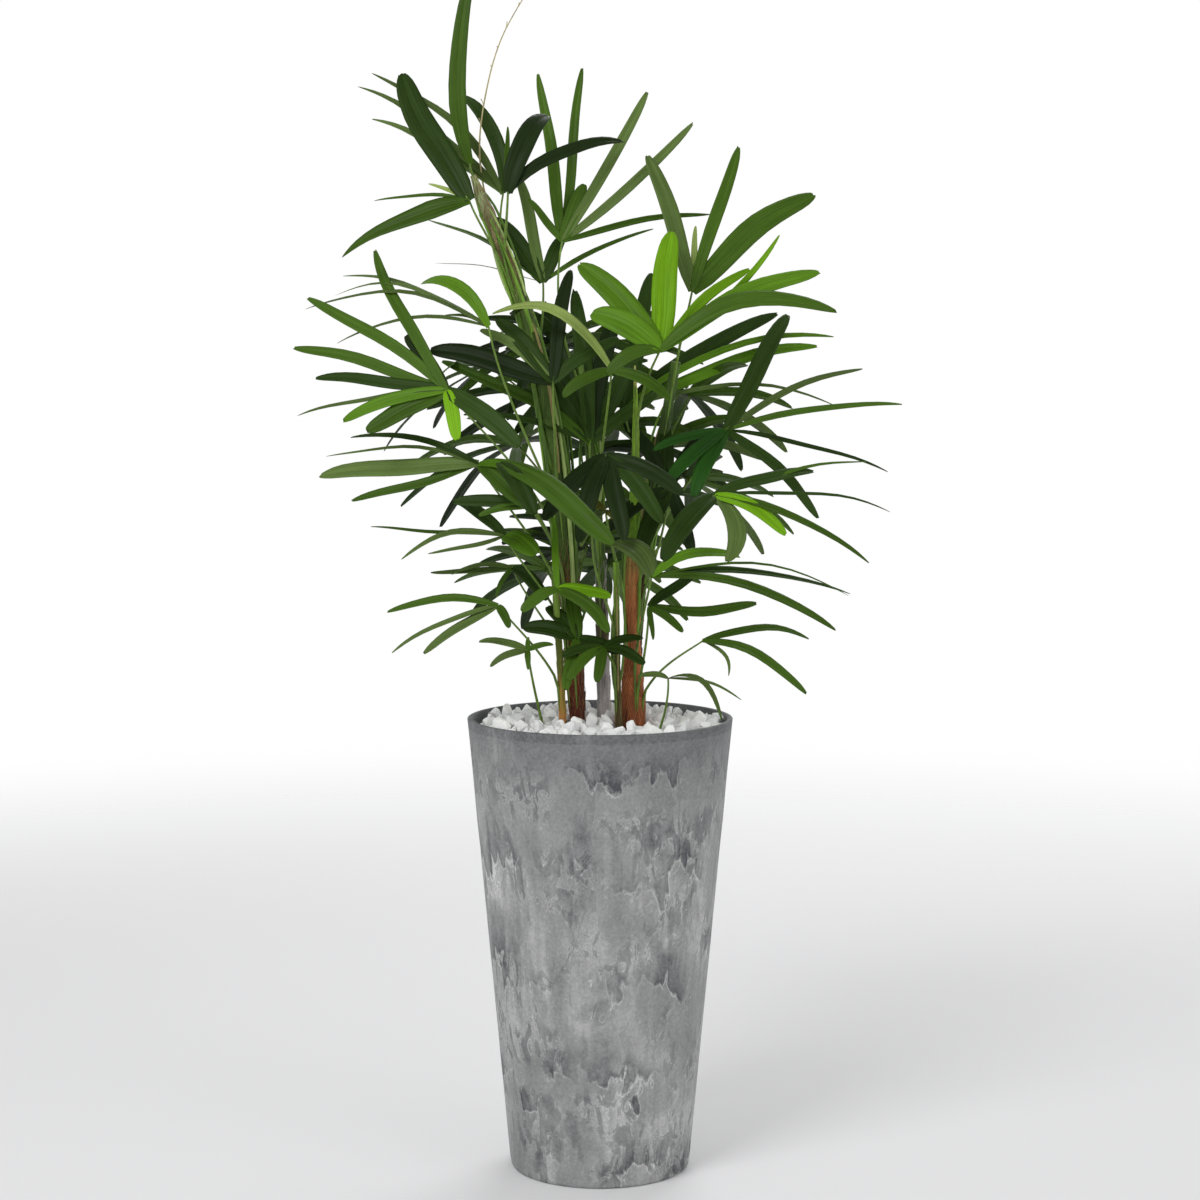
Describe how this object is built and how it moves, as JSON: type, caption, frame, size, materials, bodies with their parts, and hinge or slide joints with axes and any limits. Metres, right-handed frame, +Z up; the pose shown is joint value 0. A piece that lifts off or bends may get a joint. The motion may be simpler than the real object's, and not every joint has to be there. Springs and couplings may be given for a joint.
{
  "type": "lady palm",
  "caption": "Potted lady palm: a clump of fibrous canes with fan leaves on slim stalks, in a tall tapered planter topped with marble chippings.",
  "frame": {"origin": "centre of the planter's flat underside, at floor level", "axes": "+Z up through the planter and the canes, +X to the plant's right seen from its front, -Y towards its front"},
  "size_m": [0.6626, 0.5353, 1.2947],
  "materials": {
    "planter": "matt stone-look composite, streaked grey",
    "soil": "peat-based growing medium",
    "marble": "crushed white marble",
    "cane": "brown woven fibre over a green cane",
    "flower": "dry straw",
    "leaf": "satin dark green with a few lime leaves"
  },
  "bodies": {
    "root": {"planter": "planter", "soil": "soil", "chippings": "marble", "flower_stem": "flower", "cane_right": "cane", "cane_left": "cane", "cane_middle": "cane", "cane_back": "cane", "cane_rear": "cane", "cane_slim": "cane", "cane_young": "cane", "leaf_spear": "leaf", "leaf_crown_left": "leaf", "leaf_crown_folded": "leaf", "leaf_crown_dark": "leaf", "leaf_top_fan": "leaf", "leaf_top_low": "leaf", "leaf_arching_left": "leaf", "leaf_pale_arch": "leaf", "leaf_left_fan": "leaf", "leaf_dark_left": "leaf", "leaf_centre": "leaf", "leaf_bright_star": "leaf", "leaf_right_top": "leaf", "leaf_right_fork": "leaf", "leaf_right_dark": "leaf", "leaf_right_low": "leaf", "leaf_inner_right": "leaf", "leaf_inner_dark": "leaf", "leaf_left_broad": "leaf", "leaf_front_blade": "leaf", "leaf_mid_left": "leaf", "leaf_mid_droop": "leaf", "leaf_low_left": "leaf", "leaf_low_block": "leaf", "leaf_bright_low": "leaf", "leaf_low_centre": "leaf", "leaf_curled": "leaf", "leaf_front_right": "leaf", "leaf_low_pair": "leaf", "leaf_low_right": "leaf", "leaf_seedling_right": "leaf", "leaf_seedling_left": "leaf", "leaf_left_stub": "leaf", "leaf_rear_low_1": "leaf", "leaf_rear_low_2": "leaf", "leaf_rear_low_3": "leaf", "leaf_rear_low_4": "leaf", "leaf_rear_high_1": "leaf", "leaf_rear_high_2": "leaf", "leaf_rear_high_3": "leaf", "leaf_rear_high_4": "leaf", "leaf_rear_high_5": "leaf", "leaf_back_high_1": "leaf", "leaf_back_high_2": "leaf", "leaf_back_high_3": "leaf", "leaf_back_high_4": "leaf", "leaf_inner_high_1": "leaf", "leaf_inner_high_2": "leaf"}
  },
  "joints": []
}
